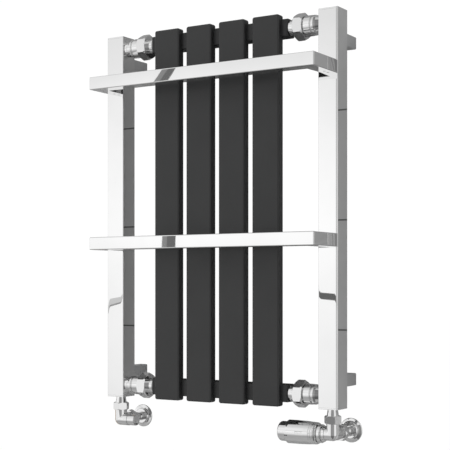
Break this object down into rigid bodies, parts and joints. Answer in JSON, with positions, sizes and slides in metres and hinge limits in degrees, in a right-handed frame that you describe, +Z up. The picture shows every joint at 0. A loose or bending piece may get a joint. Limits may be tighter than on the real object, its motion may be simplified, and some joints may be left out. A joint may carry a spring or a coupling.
{
  "type": "towel radiator with corner valve set",
  "caption": "Wall-hung towel radiator: flat dark panels between square chrome columns, U-shaped rails in front, corner thermostatic valve and lockshield below.",
  "frame": {"origin": "centre of the four wall fixings, on the wall plane", "axes": "+X to the right seen from the room, +Y into the wall, +Z up"},
  "size_m": [0.5064, 0.163, 0.7683],
  "materials": {
    "chrome_tube": "mirror chrome plate on square tube",
    "anthracite_paint": "satin anthracite powder coat",
    "chrome_fitting": "polished chrome on brass",
    "head_chrome": "chrome plated plastic, polished",
    "bracket_chrome": "chrome plated tube",
    "plain_steel": "plain turned steel",
    "bare_brass": "machined brass",
    "seal_rubber": "black rubber",
    "black_plastic": "moulded black plastic",
    "sensor_plastic": "moulded light plastic"
  },
  "bodies": {
    "radiator": {"column_right": "chrome_tube", "column_left": "chrome_tube", "column_end_plates": "chrome_tube", "panel_1": "anthracite_paint", "panel_2": "anthracite_paint", "panel_3": "anthracite_paint", "panel_4": "anthracite_paint", "header_top": "anthracite_paint", "header_bottom": "anthracite_paint", "header_end_plates": "anthracite_paint", "union_tail_top_right": "chrome_fitting", "union_tail_top_left": "chrome_fitting", "union_tail_bottom_right": "chrome_fitting", "union_tail_bottom_left": "chrome_fitting", "union_nut_top_right": "chrome_fitting", "union_nut_top_left": "chrome_fitting", "union_nut_bottom_right": "chrome_fitting", "union_nut_bottom_left": "chrome_fitting", "union_collar_top_right": "chrome_fitting", "union_collar_top_left": "chrome_fitting", "union_collar_bottom_right": "chrome_fitting", "union_collar_bottom_left": "chrome_fitting", "union_gaskets": "seal_rubber", "towel_rail_upper": "chrome_tube", "towel_rail_lower": "chrome_tube", "rail_studs": "plain_steel", "rail_end_plugs": "black_plastic", "bracket_sleeve_top_right": "bracket_chrome", "bracket_sleeve_top_left": "bracket_chrome", "bracket_sleeve_bottom_right": "bracket_chrome", "bracket_sleeve_bottom_left": "bracket_chrome", "bracket_wall_blocks": "plain_steel", "grub_screws": "plain_steel", "valve_body_right": "chrome_fitting", "valve_body_left": "chrome_fitting", "valve_tail_right": "chrome_fitting", "valve_tail_left": "chrome_fitting", "valve_tail_nut_right": "chrome_fitting", "valve_tail_nut_left": "chrome_fitting", "compression_nut_right": "chrome_fitting", "compression_nut_left": "chrome_fitting", "compression_olives": "bare_brass", "pipe_sleeve_right": "chrome_fitting", "pipe_sleeve_left": "chrome_fitting", "rosette_right": "chrome_fitting", "rosette_left": "chrome_fitting", "trv_insert": "bare_brass", "trv_return_spring": "plain_steel", "trv_connecting_ring": "chrome_fitting", "trv_housing": "head_chrome", "lockshield_insert": "bare_brass", "air_vent": "chrome_fitting"},
    "trv_dial": {"trv_dial": "head_chrome"},
    "trv_pin": {"trv_sensor": "sensor_plastic", "trv_spindle": "plain_steel", "trv_plug_seal": "seal_rubber"},
    "lockshield_cap": {"lockshield_cap": "head_chrome"},
    "lockshield_spindle": {"lockshield_spindle": "plain_steel"},
    "lockshield_plug": {"lockshield_plug": "seal_rubber"},
    "bleed_screw": {"bleed_screw": "chrome_fitting"}
  },
  "joints": [
    {"name": "trv_dial_turn", "type": "hinge", "parent": "radiator", "child": "trv_dial", "pos_m": [0.231, -0.074, -0.395], "axis": [1, 0, 0], "range_deg": [-150, 150]},
    {"name": "trv_pin_slide", "type": "slide", "parent": "radiator", "child": "trv_pin", "axis": [1, 0, 0], "range_m": [-0.0018, 0.0018], "deforming": ["trv_return_spring"]},
    {"name": "lockshield_cap_pull", "type": "slide", "parent": "radiator", "child": "lockshield_cap", "axis": [1, 0, 0], "range_m": [0, 0.03]},
    {"name": "lockshield_spindle_turn", "type": "hinge", "parent": "radiator", "child": "lockshield_spindle", "pos_m": [-0.231, -0.074, -0.395], "axis": [1, 0, 0], "range_deg": [-720, 720]},
    {"name": "lockshield_plug_slide", "type": "slide", "parent": "radiator", "child": "lockshield_plug", "axis": [1, 0, 0], "range_m": [-0.0016, 0.0016]},
    {"name": "bleed_screw_turn", "type": "hinge", "parent": "radiator", "child": "bleed_screw", "pos_m": [-0.231, -0.05, 0.332], "axis": [0, 1, 0], "range_deg": [0, 720]}
  ],
  "couplings": [
    {"joint": "trv_pin_slide", "follows": "trv_dial_turn", "m_per_rad": 0.000687},
    {"joint": "lockshield_spindle_turn", "follows": "lockshield_plug_slide", "rad_per_m": 7854}
  ]
}
